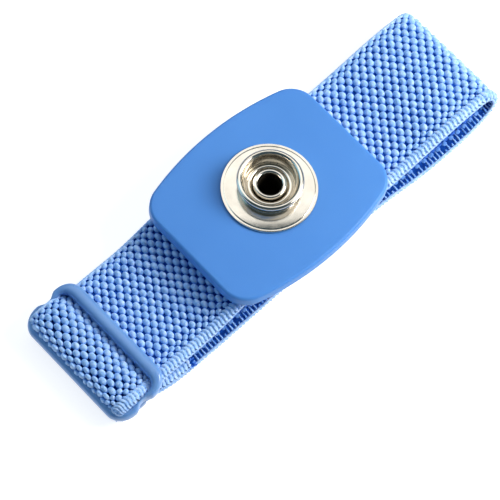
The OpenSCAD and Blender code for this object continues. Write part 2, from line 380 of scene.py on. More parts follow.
# Heights of the band's middle: flat on the table, at the slide, by the far turn and under the plate
LOWER_Z, UPPER_Z, RIGHT_Z, CLAMP_Z = 0.575, 3.3, 5.125, 6.275
HEM_Z, FREE_Z = 1.875, 0.525  # and in the sewn hem and the free end
DIP_Z = 3.35  # the lowest place of the right run, between the plate and the turn
HEM_END = -26.5  # the hem's cut end, which is as far as the ply under it goes
BAR = (-35.9, 2.0)  # the slide's middle bar in side view
BAR_REACH = 1.475  # from the bar's axis to the middle of the band looped round it
TURN = (37.13, 2.85)  # the middle of the far turn
FREE_RIGHT, FREE_LEFT = -39.4, -40.05  # where the free end leaves the slot and where it stops
SLIDE_Y = -0.75  # the middle of the slide across the band
RELAXED, DRAWN = 1.4, 1.525  # weave pitch where the elastic is slack and where it is drawn out

# One strip from the sewn hem, round the middle bar, along the bottom, round the turn, back under the
# plate and through the slide to its free end. Each leg has points in side view, the sideways place of
# all or of each of them, and the weave's pitch.
course = [
    # the hem, the loop round the middle bar and the ply below
    ([(x, HEM_Z) for x in (HEM_END, -29, -31, -32.4, -33.6)], (-1.6, -1.6, -1.45, -1.1, -0.8), RELAXED),
    (arc(BAR, BAR_REACH, 35, 270), SLIDE_Y, RELAXED),
    (
        [(-34.9, 0.56)] + [(x, LOWER_Z) for x in (-32.4, -30, HEM_END)],
        (-0.8, -1.1, -1.55, -1.65),
        RELAXED,
    ),
    # the lower run, which wanders a little sideways
    ([(x, LOWER_Z) for x in (-22, -15, -7, 0)], (-1.6, -1.45, -1.25, -1.1), 1.43),
    (
        [(x, LOWER_Z) for x in (8, 16, 20, 25, 29, 33, 36, TURN[0])],
        (-1.0, -1.15, -1.5, -1.68, -1.62, -1.5, -1.2, -1.02),
        1.5,
    ),
    # the far turn, the right run, the rise to the plate, the clamped run and the left run
    (arc(TURN, TURN[1] - LOWER_Z, -90, 90), np.linspace(-1.0, -0.22, 24), DRAWN),
    (ease((33.5, RIGHT_Z), (18, DIP_Z)), -0.22, DRAWN),
    (ease((17, DIP_Z), (8, CLAMP_Z)), -0.3, DRAWN),
    ([(7.5, CLAMP_Z), (-9.5, CLAMP_Z)], -0.4, 1.46),
    (ease((-10.5, CLAMP_Z), (-24, UPPER_Z)), -0.5, RELAXED),
    ([(-30.8, UPPER_Z)], -0.56, RELAXED),
    # up over the middle bar, round the bend at the near bar and down through the slot
    (
        [(-32.7, 3.32), (-33.6, 3.85), (-34.6, 4.5), (-36.0, 4.9), (-37.4, 5.0), (-38.5, 4.9)],
        -0.72,
        RELAXED,
    ),
    ([(-39.5, 4.65), (-40.05, 4.25), (-39.8, 3.9), (-39.3, 3.75)], -0.72, 0.85),
    (
        [(-38.9, 3.5), (-38.42, 2.7), (-38.4, 1.7), (-38.6, 1.0), (-39.0, 0.62), (FREE_RIGHT, FREE_Z)],
        -0.72,
        RELAXED,
    ),
    ([(FREE_LEFT, FREE_Z)], SLIDE_Y, RELAXED),
]


class Course:
    """The strip's centre line by length: place, outward direction and weave phase."""

    def __init__(self, legs):
        line = []
        for points, y, pitch in legs:
            for k, (x, z) in enumerate(points):
                line.append((x, z, y if np.isscalar(y) else y[k], pitch))
        fine = smooth_line(line, 0.05, 0.12)
        xz = fine[:, :2]
        self.s = np.concatenate([[0], np.cumsum(np.linalg.norm(np.diff(xz, axis=0), axis=1))])
        self.xz = xz
        window = 61
        padded = np.pad(fine[:, 2], window // 2, mode="edge")
        self.y = np.convolve(padded, np.ones(window) / window, "valid")
        heading = np.gradient(xz, self.s, axis=0)
        heading /= np.linalg.norm(heading, axis=1)[:, None]
        self.out = np.stack([heading[:, 1], -heading[:, 0]], 1)
        self.phase = np.concatenate([[0], np.cumsum(np.diff(self.s) / fine[1:, 3])])

    def find(self, x, near, low=0.0):
        """The length, above low, at which the strip passes x at about the height near."""
        cost = np.hypot((self.xz[:, 0] - x), (self.xz[:, 1] - near)) + 1e3 * (self.s < low)
        return float(self.s[np.argmin(cost)])

    def put(self, s, t, n):
        """Points s along the strip, t across it and n out from its middle, in millimetres."""
        x, z, y, ox, oz = (
            np.interp(s, self.s, v)
            for v in (self.xz[:, 0], self.xz[:, 1], self.y, self.out[:, 0], self.out[:, 1])
        )
        over = np.clip(s - self.s[-1], 0, None) - np.clip(-s, 0, None)
        hx, hz = -np.interp(s, self.s, self.out[:, 1]), np.interp(s, self.s, self.out[:, 0])
        return np.stack([x + ox * n + hx * over, y + t, z + oz * n + hz * over], -1)


strip = Course(course)
# Lengths along the strip where the pieces of weave meet
S_LOOP = strip.find(-33.5, HEM_Z)
S_PLY = strip.find(HEM_END, LOWER_Z, 5)
S_MIDDLE = strip.find(0, LOWER_Z, 20)
S_TURN = strip.find(TURN[0], LOWER_Z, 20)
S_TURNED = strip.find(TURN[0], RIGHT_Z, 20)
S_CLAMP = strip.find(7.5, CLAMP_Z)
S_CLAMPED = strip.find(-9.5, CLAMP_Z)
S_SLIDE = strip.find(-30.8, UPPER_Z, 150)
S_FREE = strip.find(FREE_RIGHT, FREE_Z, 170)
S_END = float(strip.s[-1])

# Rows of bumps along the strip: (place across, half a bump's width across, rise)
ROW_PITCH = 0.975
ROWS = [(-8.02, 0.42, 0.8), (-7.4, 0.42, 0.85)]
ROWS += [(-6.62 + ROW_PITCH * k, 0.7, 1.0) for k in range(16)]
ROWS += [(8.68, 0.46, 0.85), (9.36, 0.44, 0.75)]
FIRST_FULL_ROW = 2
GROUND_TOP = 0.06  # the ground weave's outer face above the strip's middle


def dome(rings=5, sides=14, lean=0.0):
    """A pillow over a slightly squared unit disc: points (u, v, height 0 to 1), cap and wall faces."""
    rim = []
    for m in range(sides):
        a = 2 * math.pi * m / sides
        c, s = math.cos(a), math.sin(a)
        square = (abs(c) ** 2.3 + abs(s) ** 2.3) ** (-1 / 2.3)
        rim.append((square * c, square * s))
    points = [(lean, 0, 1.0)]
    for k in range(1, rings + 1):
        r = math.sin(0.5 * math.pi * k / rings) ** 0.9
        h = (1 - r**2.1) ** 0.62 if r < 1 else 0.0
        points += [(r * u + lean * (1 - r), r * v, h) for u, v in rim]
    points += [(0.97 * u, 0.97 * v, -0.3) for u, v in rim]  # a skirt down into the ground weave
    m = np.arange(sides)
    cap = np.stack([np.zeros(sides, int), 1 + (m + 1) % sides, 1 + m], 1)
    walls = grid_faces(rings + 1, sides, False, True) + 1
    return np.array(points), cap, walls[:, ::-1].copy()


BUMP = dome(lean=-0.22)
RIDGE = dome(3, 10)


def stamp(pile, template, s0, t0, half_s, half_t, base, rise, number, outward=1, put=None):
    """Sets one copy of a template at each place; places and sizes are arrays of one length. A bump of
    yarn takes painted shade in its lowest rings: darker copies of the yarn stand in for the shade there."""
    points, cap, walls = template
    n = len(s0)
    if not n:
        return
    put = put or strip.put
    s = s0[:, None] + points[None, :, 0] * half_s[:, None]
    t = t0[:, None] + points[None, :, 1] * half_t[:, None]
    h = base[:, None] + outward * points[None, :, 2] * rise[:, None]
    if number == YARN:  # the filaments bulge unevenly
        h += rng.normal(0, 0.03, h.shape) * (points[None, :, 2] > 0)
        t += rng.normal(0, 0.02, t.shape)
    p = put(s.ravel(), t.ravel(), h.ravel())
    step = (np.arange(n) * len(points))[:, None, None]
    if outward < 0:
        cap, walls = cap[:, ::-1], walls[:, ::-1]
    sides = len(cap)
    pile.add(p, [(cap[None] + step).reshape(-1, 3)], number)
    for ring in range(len(walls) // sides):
        left = len(walls) // sides - ring
        # painted shade: the lowest rings of a yarn bump take the half-shade and deep-shade copies of the
        # yarn
        tone = number if number != YARN or left > 3 else (DEEP_SHADE, DEEP_SHADE, SHADED)[left - 1]
        faces = (walls[ring * sides : (ring + 1) * sides][None] + step).reshape(-1, 4)
        pile.faces.append(faces + pile.count - len(p))
        pile.numbers.append(np.full(len(faces), tone))


def lattice(row, low, high):
    """The lengths of one row's bumps between low and high, and the pitch at each."""
    a, b = np.interp([low, high], strip.s, strip.phase)
    shift = 0.5 * ((row - FIRST_FULL_ROW) % 2)
    first = math.ceil(a - shift - 1e-9)
    c = np.arange(first, math.ceil(b - shift - 1e-9)) + shift
    s = np.interp(c, strip.phase, strip.s)
    return s, np.interp(s, strip.s, np.gradient(strip.s, strip.phase))


def pathway(pile, line, radius, number, sides=8, put=None, flat=1.0):
    """A yarn along (s, t, n) points, with closed ends; flat below 1 makes it oval."""
    put = put or strip.put
    line = np.array(line, float)
    centre = put(line[:, 0], line[:, 1], line[:, 2])
    tangent = np.gradient(centre, axis=0)
    tangent /= np.linalg.norm(tangent, axis=1)[:, None]
    up = np.array([0.3, 0.2, 1.0])
    a = np.cross(tangent, up)
    a /= np.linalg.norm(a, axis=1)[:, None]
    b = np.cross(tangent, a)
    radius = np.broadcast_to(np.asarray(radius, float), (len(line),))
    turn = np.linspace(0, 2 * math.pi, sides, endpoint=False)
    ring = (
        centre[:, None]
        + radius[:, None, None] * np.cos(turn)[None, :, None] * a[:, None]
        + flat * radius[:, None, None] * np.sin(turn)[None, :, None] * b[:, None]
    )
    ends = np.stack([centre[0], centre[-1]])
    m = np.arange(sides)
    n = len(line)
    first = np.stack([np.full(sides, n * sides), (m + 1) % sides, m], 1)
    last = np.stack(
        [np.full(sides, n * sides + 1), (n - 1) * sides + m, (n - 1) * sides + (m + 1) % sides], 1
    )
    pile.add(
        np.concatenate([ring.reshape(-1, 3), ends]),
        [grid_faces(n, sides, False, True)[:, ::-1], first, last],
        number,
    )


BAND_MATERIALS = [ground, yarn, chain, skin_yarn, rubber, shaded, deep_shade_yarn]
GROUND, YARN, CHAIN, SKIN, RUBBER, SHADED, DEEP_SHADE = range(7)
HOLE_R = 2.15  # of the holes that the eyelet passes

# One loop of the knitted chain round the front edge: (along, across, out) and the yarn's radius there.
# Its first eight points show on the outer face and the edge, the rest on the skin side.
CHAIN_LOOP = [
    (0.2, -8.35, 0.16), (0.0, -8.6, 0.32), (-0.18, -8.95, 0.4), (-0.22, -9.2, 0.41),
    (-0.13, -9.5, 0.38), (-0.05, -9.78, 0.26), (0.0, -9.9, 0.06), (0.05, -9.86, -0.2),
    (0.08, -9.62, -0.4), (0.1, -9.25, -0.5), (0.12, -8.8, -0.5), (0.14, -8.3, -0.44),
]
CHAIN_WIDTHS = np.array([0.2, 0.27, 0.3, 0.3, 0.3, 0.29, 0.27, 0.25, 0.2, 0.15, 0.13, 0.1])
CHAIN_SHOWN = 8


def section(left, right):
    """The ground weave cut across, between two places across the band."""
    corners = [(left, -0.5), (right, -0.5), (right, GROUND_TOP), (left, GROUND_TOP)]
    return rounded(corners, [0.3 if abs(t) > 9 else 0.01 for t, n in corners], 5)


def slab(pile, low, high, put, thin=1.0, narrow=1.0, left=-9.75, right=9.75, step=0.4):
    """The ground weave: a rounded strip with closed ends."""
    n = max(int((high - low) / step), 2)
    s = np.linspace(low, high, n + 1)
    across = section(left, right) * (narrow, thin)
    m = len(across)
    t, h = np.tile(across[:, 0], n + 1), np.tile(across[:, 1], n + 1)
    pile.add(put(np.repeat(s, m), t, h), [grid_faces(n + 1, m, False, True)], GROUND)
    for at, flip in ((low, 1), (high, -1)):
        ring = put(np.full(m, at), across[:, 0], across[:, 1])
        middle = ring.mean(0)
        k = np.arange(m)
        fan = np.stack([np.full(m, m), k, (k + 1) % m], 1)[:, ::flip]
        pile.add(np.concatenate([ring, [middle]]), [fan], GROUND)


def jitter(n, amount):
    return rng.normal(0, amount, n)


def strip_y(s):
    return float(np.interp(s, strip.s, strip.y))


def ground_weave(pile, low, high, put, thin, narrow, hole):
    """The ground between low and high, in four slabs round the eyelet where there is a hole."""
    if hole is None:
        slab(pile, low, high, put, thin, narrow)
        return
    side_a, side_b = -HOLE_R - strip_y(hole), HOLE_R - strip_y(hole)
    slab(pile, low, hole - HOLE_R, put)
    slab(pile, hole + HOLE_R, high, put)
    slab(pile, hole - HOLE_R, hole + HOLE_R, put, right=side_a)
    slab(pile, hole - HOLE_R, hole + HOLE_R, put, left=side_b)


def bump_rows(pile, low, high, put, thin, narrow, bare, hole):
    """Raised bumps on the outer face and flat floats between them on the skin side."""
    for row, (t0, half_t, rise) in enumerate(ROWS):
        s0, pitch = lattice(row, low, high)
        keep = np.ones(len(s0), bool)
        if bare:
            keep = (s0 < bare[0]) | (s0 > bare[1])
        if hole is not None:
            keep = np.hypot(s0 - hole, t0 + strip_y(hole)) > HOLE_R + 0.4
        s0, pitch = s0[keep], pitch[keep]
        n = len(s0)
        under = np.ones(n, bool)
        if hole is not None:
            under = np.hypot(s0 + 0.5 * pitch - hole, t0 + strip_y(hole)) > HOLE_R + 0.7
        stamp(
            pile, BUMP, s0 + jitter(n, 0.02), t0 * narrow + jitter(n, 0.018),
            0.365 * pitch * (1 + jitter(n, 0.04)), half_t * narrow * (1 + jitter(n, 0.03)),
            np.full(n, GROUND_TOP * thin), (0.64 * rise + jitter(n, 0.02)) * thin, YARN, 1, put,
        )
        stamp(
            pile, RIDGE, (s0 + 0.5 * pitch)[under], np.full(n, t0 * narrow)[under],
            (0.4 * pitch)[under], np.full(n, 0.3)[under], np.full(n, -0.5 * thin)[under],
            np.full(n, 0.07 * thin)[under], SKIN, -1, put,
        )


def chain_edge(pile, low, high, put, thin, narrow):
    """The front edge: a knitted chain, two loops to each bump, each tucked under the next."""
    s0, pitch = lattice(0, low, high)
    n = len(s0)
    # painted shade: the ridges on the skin side under the chain take the deep-shade copy of the yarn
    stamp(
        pile, RIDGE, s0, np.full(n, -8.45), 0.3 * pitch, np.full(n, 0.36),
        np.full(n, -0.5 * thin), np.full(n, 0.1 * thin), DEEP_SHADE, -1, put,
    )
    a, b = np.interp([low, high], strip.s, strip.phase)
    c = np.arange(math.ceil(2 * a), math.ceil(2 * b)) / 2.0
    for s in np.interp(c, strip.phase, strip.s):
        slip = rng.normal(0, 0.02)
        line = [(s + ds + slip, t * narrow, h * thin) for ds, t, h in CHAIN_LOOP]
        widths = CHAIN_WIDTHS[:CHAIN_SHOWN] * rng.uniform(1.02, 1.16)
        pathway(pile, line[:CHAIN_SHOWN], widths, CHAIN, 8, put, 0.6)
        last = 12 if rng.random() < 0.7 else 10
        # painted shade: the loop's skin-side part takes a darker copy of the yarn, half or deep shade at
        # random
        tone = SHADED if rng.random() < 0.6 else DEEP_SHADE
        widths = CHAIN_WIDTHS[CHAIN_SHOWN - 1 : last] * rng.uniform(1.1, 1.4)
        pathway(pile, line[CHAIN_SHOWN - 1 : last], widths, tone, 6, put, 0.7)


def edge_cords(pile, low, high, put, thin, narrow, open_edge):
    """Cords that lie under the chain and along both edges, rippled where the chain grips them."""
    span = np.linspace(low, high, max(int((high - low) / 0.25), 3))
    ripple = 0.03 * np.sin(2 * math.pi * np.interp(span, strip.s, strip.phase) * 2)
    # Each cord is (across, out, radius, share of the ripple, tone, start)
    under_chain = [(-8.72, 0.2, 0.26), (-9.1, 0.26, 0.28), (-9.5, 0.2, 0.28)]
    # painted shade: the cords under the chain take the half-shade copy of the yarn
    cords = [(t, h, r, 0, SHADED, low) for t, h, r in under_chain]
    cords += [(-9.8, -0.2, 0.24, 1, CHAIN, low), (-9.86, -0.4, 0.25, 1, CHAIN, max(low, open_edge))]
    cords += [(9.72, 0.1, 0.27, 1, CHAIN, low), (9.72, -0.28, 0.22, 1, CHAIN, low)]
    for t, h, r, grip, tone, start in cords:
        k = span >= start
        across = (t + grip * ripple[k]) * narrow
        pathway(pile, np.stack([span[k], across, np.full(k.sum(), h * thin)], 1), r, tone, 8, put)


def cut_end(pile, at, put, thin, narrow):
    """Rubber threads and loose yarn ends standing out of the strip's first cut end."""
    for k in range(19):
        t = (-9 + k) * narrow + rng.normal(0, 0.05)
        thread_line = [(at + d, t, -0.15 * thin) for d in (0.05, -0.05, -0.1)]
        pathway(pile, thread_line, 0.17 * thin, RUBBER, 8, put)
    for k in range(150):  # thickest where the chain has come undone
        t = rng.uniform(-9.9, 9.7) if k % 3 else rng.uniform(-10.0, -8.4)
        h, reach = rng.uniform(-0.4, 0.4), rng.uniform(0.4, 1.5)
        drift, drop = rng.normal(0, 0.25), rng.normal(-0.1, 0.15)
        loose = [
            (at + 0.2, t, h), (at - 0.05, t, h), (at - 0.6 * reach, t + 0.4 * drift, h + 0.3 * drop),
            (at - reach, t + drift, h + drop),
        ]
        tone = GROUND if rng.random() < 0.7 else SKIN
        pathway(pile, loose, np.array([0.15, 0.15, 0.13, 0.08]), tone, 6, put)


def weave(
    name, low, high, put=None, thin=1.0, narrow=1.0, bare=None, cut=False, ribs=True, hole=None,
    open_edge=0.0,
):
    """One length of the band, from low to high along the strip. bare is a stretch with no bumps, where
    it is pressed against something; cut shows the rubber threads at the low end; ribs gives it the
    chained front edge; hole is where the eyelet passes; up to open_edge the inner edge cord is missing."""
    put = put or strip.put
    pile = Pile()
    ground_weave(pile, low, high, put, thin, narrow, hole)
    bump_rows(pile, low, high, put, thin, narrow, bare, hole)
    if ribs:
        chain_edge(pile, low, high, put, thin, narrow)
    edge_cords(pile, low, high, put, thin, narrow, open_edge)
    if cut:
        cut_end(pile, low, put, thin, narrow)
    return pile.build(name, BAND_MATERIALS)


def over_bar_put(s, t, n):
    """The crown droops towards the band's edges, where the cloth curls down inside the slide."""
    p = strip.put(s, t, n)
    crown = np.clip((p[:, 2] - 3.4) / 1.2, 0, 1)
    end = np.clip((np.abs(t) - 7.0) / 3.0, 0, 1.2) ** 2
    p[:, 2] -= crown * 0.55 * end
    p[:, 0] += crown * end * 0.6 * np.clip((-37 - p[:, 0]) / 3, 0, 1)
    p[:, 1] += crown * (0.5 * np.clip((t - 4) / 6, 0, 1) - 0.3 * np.clip((-t - 4) / 6, 0, 1))
    return p


COMPRESSED = 0.5  # the tail's length while it is folded up
TAIL = 8.0  # and when the slide has drawn it out


def tail_put(s, t, n):
    """The tail lies folded up to half a millimetre until the slide draws it out."""
    f = np.clip((s - S_FREE) / TAIL, 0, 1)
    lo, hi = np.zeros_like(f), np.ones_like(f)
    for _ in range(30):  # the share whose smoothstep is f
        mid = (lo + hi) / 2
        below = mid * mid * (3 - 2 * mid) < f
        lo, hi = np.where(below, mid, lo), np.where(below, hi, mid)
    x = FREE_RIGHT + COMPRESSED * (1 - lo) - 0.02
    return np.stack([x, SLIDE_Y + t, FREE_Z + n], -1)


def in_frame(x, y=0.0, z=0.0):
    """A station in millimetres as a point in the part's frame."""
    return ((x + STUD_X) * MM, (y + STUD_Y) * MM, z * MM)


def attach(obj, body, slot_name, *nodes):
    """Ties a piece to its body and hides the nodes it stands for; a blended piece has no body here. The
    slot name is not used.
    """
    if body:
        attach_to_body(obj, body)
    if nodes:
        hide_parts(*nodes)
    return obj


ELASTIC = "woven_elastic"
end_loop = weave("weave_sewn_end", 0.0, S_PLY, thin=0.95, cut=True, open_edge=S_LOOP)
attach(end_loop, "slide", ELASTIC, "band_end_hem", "band_end_loop", "band_end_ply")

lower_left = weave("weave_lower_left", S_PLY, S_MIDDLE)
attach(lower_left, None, ELASTIC, "band_lower_left")
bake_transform(lower_left)

lower_right = weave("weave_lower_right", S_MIDDLE, S_TURN)
attach(lower_right, None, ELASTIC, "band_lower_right")
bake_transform(lower_right)

turn = weave("weave_turn", S_TURN, S_TURNED)
attach(turn, "turn", ELASTIC, "band_turn")

right_run = weave("weave_right_run", S_TURNED, S_CLAMP)
attach(right_run, None, ELASTIC, "band_right_run")
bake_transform(right_run)

clamped = weave("weave_clamped", S_CLAMP, S_CLAMPED, thin=0.85, hole=strip.find(0, CLAMP_Z))
attach(clamped, "root", ELASTIC, "band_clamped_run")

left_run = weave("weave_left_run", S_CLAMPED, S_SLIDE)
attach(left_run, None, ELASTIC, "band_left_run")
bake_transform(left_run)

PRESSED = (strip.find(-39.2, 3.75, 170), strip.find(-38.42, 2.2, 170))
over_bar = weave("weave_over_bar", S_SLIDE, S_FREE, over_bar_put, 0.92, 1.0, PRESSED)
attach(over_bar, "slide", ELASTIC, "band_over_bar")

free_end = weave(
    "weave_free_end", S_FREE + 0.06, S_END, thin=0.86, narrow=0.94, bare=(S_END - 0.5, S_END + 1),
    ribs=False,
)
attach(free_end, "root", ELASTIC, "free_end")


# ---------------------------------------------------------------- silvered yarns


SILVER_COUNT, SILVER_PITCH = 5, 3.2


def silver(name, low, high, node, body=None, blend=None, hole=None):
    """Silvered yarns that float over the skin side in short stitches."""
    pile = Pile()
    for i in range(SILVER_COUNT):
        t = (i - SILVER_COUNT // 2) * SILVER_PITCH
        s0, pitch = lattice(FIRST_FULL_ROW + i, low, high)
        if hole is not None:
            clear = np.hypot(s0 - hole, t + strip_y(hole)) > HOLE_R + 1.0
            s0, pitch = s0[clear], pitch[clear]
        n = len(s0)
        stamp(
            pile, RIDGE, s0, np.full(n, t), 0.46 * pitch, np.full(n, 0.28),
            np.full(n, -0.5), 0.125 + jitter(n, 0.004), 0, -1,
        )
    obj = pile.build(name, [silver_yarn])
    attach(obj, body, "conductive_yarn", node)
    if blend:
        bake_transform(obj)
    return obj


silver("silver_lower_left", S_PLY, S_MIDDLE, "yarns_lower_left",
       blend=("slide", in_frame(-1), in_frame(-26)))
silver("silver_lower_right", S_MIDDLE, S_TURN, "yarns_lower_right",
       blend=("turn", in_frame(0.5), in_frame(36.9)))
silver("silver_turn", S_TURN, S_TURNED, "yarns_turn", "turn")
silver("silver_right_run", S_TURNED, S_CLAMP, "yarns_right_run",
       blend=("turn", in_frame(8.2), in_frame(36.9)))
silver("silver_clamped", S_CLAMP, S_CLAMPED, "yarns_clamped_run", "root", hole=strip.find(0, CLAMP_Z))
silver("silver_left_run", S_CLAMPED, S_SLIDE, "yarns_left_run",
       blend=("slide", in_frame(-10), in_frame(-30.6)))


# ---------------------------------------------------------------- cover plate

# The middle of the plate's underside, then its size
PLATE_X, PLATE_Y, PLATE_Z = -0.35, -0.35, 6.9
PLATE_L, PLATE_W, PLATE_T = 32.5, 27.0, 2.1
CORNER_R, BOW_R = 4.5, 50.0
TOP_EDGE_R, FOOT_EDGE_R = 0.5, 0.35


def plate_outline(inset, n=14):
    """The plate's outline, drawn in from its edge: straight ends, bowed sides and round corners."""
    cx = PLATE_L / 2 - CORNER_R
    drop = BOW_R - PLATE_W / 2
    cy = math.sqrt((BOW_R - CORNER_R) ** 2 - cx**2) - drop
    turn = math.degrees(math.atan2(cy + drop, cx))
    quarter = arc((cx, cy), CORNER_R - inset, 0, turn, n)
    side = arc((0, -drop), BOW_R - inset, turn, 180 - turn, 2 * n)[1:-1]
    half = quarter + side + [(-x, y) for x, y in quarter[::-1]]
    end = [(-PLATE_L / 2 + inset, y) for y in np.linspace(cy, -cy, 12)[1:-1]]
    return np.array(half + end + [(-x, -y) for x, y in half] + [(-x, -y) for x, y in end])


def build_plate():
    """Outlines stacked from the bottom to the top, each (how far drawn in, height), round a bore."""
    pile = Pile()
    quarter = np.radians(np.linspace(0, 90, 12))
    foot = np.radians(np.linspace(0, 90, 6))
    wall = PLATE_T - TOP_EDGE_R - FOOT_EDGE_R
    lean, shoulder = 0.06, 0.07  # how far in the wall has come at its top, and where the top edge starts
    levels = [(2.5, 0.0)]
    levels += [(FOOT_EDGE_R * (1 - math.sin(a)), FOOT_EDGE_R * (1 - math.cos(a))) for a in foot]
    levels += [(lean * k / 4, FOOT_EDGE_R + wall * k / 4) for k in range(1, 4)]
    levels += [
        (shoulder + TOP_EDGE_R * (1 - math.cos(a)), PLATE_T - TOP_EDGE_R * (1 - math.sin(a)))
        for a in quarter
    ]
    levels += [(i, PLATE_T) for i in (1.2, 2.2, 3.4)]
    outlines = [plate_outline(i) for i, z in levels]
    m = len(outlines[0])
    middle = np.array([-PLATE_X, -PLATE_Y])
    turn = np.arctan2(outlines[0][:, 1] - middle[1], outlines[0][:, 0] - middle[0])
    bore = middle + HOLE_R * np.column_stack([np.cos(turn), np.sin(turn)])
    rings = [np.column_stack([line, np.full(m, z)]) for (_, z), line in zip(levels, outlines)]
    for share in (0.4, 0.75, 1.0):
        for z, outline, at in ((0, outlines[0], 0), (PLATE_T, outlines[-1], len(rings) + 1)):
            ring = np.column_stack([outline * (1 - share) + bore * share, np.full(m, z)])
            rings.insert(at, ring)
    n = len(rings)
    points = np.concatenate(rings) + np.array([PLATE_X, PLATE_Y, PLATE_Z])
    pile.add(points, [grid_faces(n, m, True, True)[:, ::-1]])
    return pile.build("cover", [soft_plastic])


attach(build_plate(), "root", "cover_plastic", "cover_plate")


# ---------------------------------------------------------------- stud, eyelet and cap

STUD_Z = PLATE_Z + PLATE_T


def build_stud():
    """A saucer flange with a fine groove, a waisted neck, a rolled head and a cup with a pressed bead."""
    saucer = []
    for u in np.linspace(0.985, 0.12, 60):
        groove = 0.035 * math.exp(-(((u - 0.87) / 0.03) ** 2))
        saucer.append((4.4 + 3.05 * u, 0.4 + 0.3 * (1 - u**1.6) - groove))
    neck = rounded([(4.8, 0.69), (4.4, 0.7), (4.38, 2.1), (4.75, 2.5)], [0, 0.3, 0.5, 0], 8)[1:-1]
    roll = arc((4.7, 3.0), 0.45, -42, 176, 26)
    cup = [(4.22, 2.7), (4.1, 2.2), (3.85, 1.75), (3.66, 1.5), (3.6, 1.18)]
    cup += arc((3.18, 1.11), 0.38, 12, 168, 12) + [(2.78, 1.16), (2.15, 1.15), (2.15, 0.7)]
    inside = [(2.15, 0.02), (3.9, 0.02)]
    edge = arc((7.25, 0.2), 0.2, -90, 20, 8)
    profile = inside + edge + saucer + list(map(tuple, neck)) + roll + list(map(tuple, cup))
    pile = Pile()
    revolve(pile, [(r, z + STUD_Z) for r, z in profile], turns=192)
    return pile.build("stud", [nickel], 50)


def build_eyelet():
    """A tube rolled over inside the stud's cup, with a flange inside the contact cap."""
    cup_floor, roll_r = 1.15, 0.4
    rim = STUD_Z + cup_floor + roll_r
    flange, flange_t, flange_r = 5.05, 0.4, 6.5
    bore_r, tube_r = 1.8, 2.1
    bore = [(bore_r + 0.02, rim - 0.1), (bore_r, rim - 0.6), (bore_r, flange), (flange_r - 0.1, flange)]
    profile = [
        (flange_r - 0.1, flange), (flange_r, flange + 0.1), (flange_r, flange + 0.32),
        (flange_r - 0.1, flange + flange_t), (tube_r + 0.1, flange + flange_t),
        (tube_r, flange + flange_t + 0.1), (tube_r, rim - 0.3),
    ]
    profile += arc((2.2, rim), roll_r, -30, 180, 20) + bore[:1]
    pile = Pile()
    revolve(pile, profile, 0, 128, False)
    # painted shade: the bore takes the dark metal
    revolve(pile, bore, 1, 128, False)
    return pile.build("eyelet_ring", [nickel, painted_shade_metal], 40)


def build_cap():
    """A shallow disc that touches the skin, with its wall turned up and rolled against the band."""
    face, top = 4.5, 5.65
    r, wall, edge_r = 7.1, 0.4, 0.45
    outer = arc((r - edge_r, face + edge_r), edge_r, -90, 0, 10)
    outer += [(r, top - 0.1), (r - 0.1, top), (r - 0.3, top)]
    inner = [(r - wall, top - 0.1), (r - wall, face + 0.5), (r - 0.6, face + wall)]
    inner += [(0.001, face + wall), (0.001, face)]
    pile = Pile()
    revolve(pile, outer + inner[:3], 0, 144, False)
    # painted shade: the cap's inner face, seen down the bore, takes the dark metal
    revolve(pile, inner[2:5], 1, 144, False)
    revolve(pile, [inner[4], outer[0]], 0, 144, False)
    return pile.build("cap", [steel, painted_shade_metal], 40)


attach(build_stud(), "root", "nickel", "snap_stud")
attach(build_eyelet(), "root", "nickel", "eyelet")
attach(build_cap(), "root", "stainless", "contact_cap")


# ---------------------------------------------------------------- slide

# The rails' middle line in side view, at the near bar, above the middle bar and at the far bar
NEAR, MID, FAR = (-40.03, 2.75), (-35.9, 3.5), (-31.95, 4.95)
RAIL_Y = 10.7
PLAN_CORNER_R = 2.3
BAR_HALF_W, RAIL_HALF_W, RAIL_HALF_T = 1.05, 0.6, 1.0
NOTCH_R, NOTCH_OUT = 1.6, 0.9  # the round notch in each rail and how far outside the rail its centre is
BAR_R, BAR_END = 0.95, 10.4


def slide_height(x):
    """The rails' middle height, easing from the far bar down to the near bar."""
    xs = np.array([-43, NEAR[0], -38, MID[0], -34, FAR[0], -29])
    zs = np.array([NEAR[1], NEAR[1], 3.02, MID[1], 4.15, FAR[1], FAR[1]])
    fine = np.linspace(-43, -29, 281)
    window = 25
    line = np.pad(np.interp(fine, xs, zs), window // 2, mode="edge")
    return np.interp(x, fine, np.convolve(line, np.ones(window) / window, "valid"))


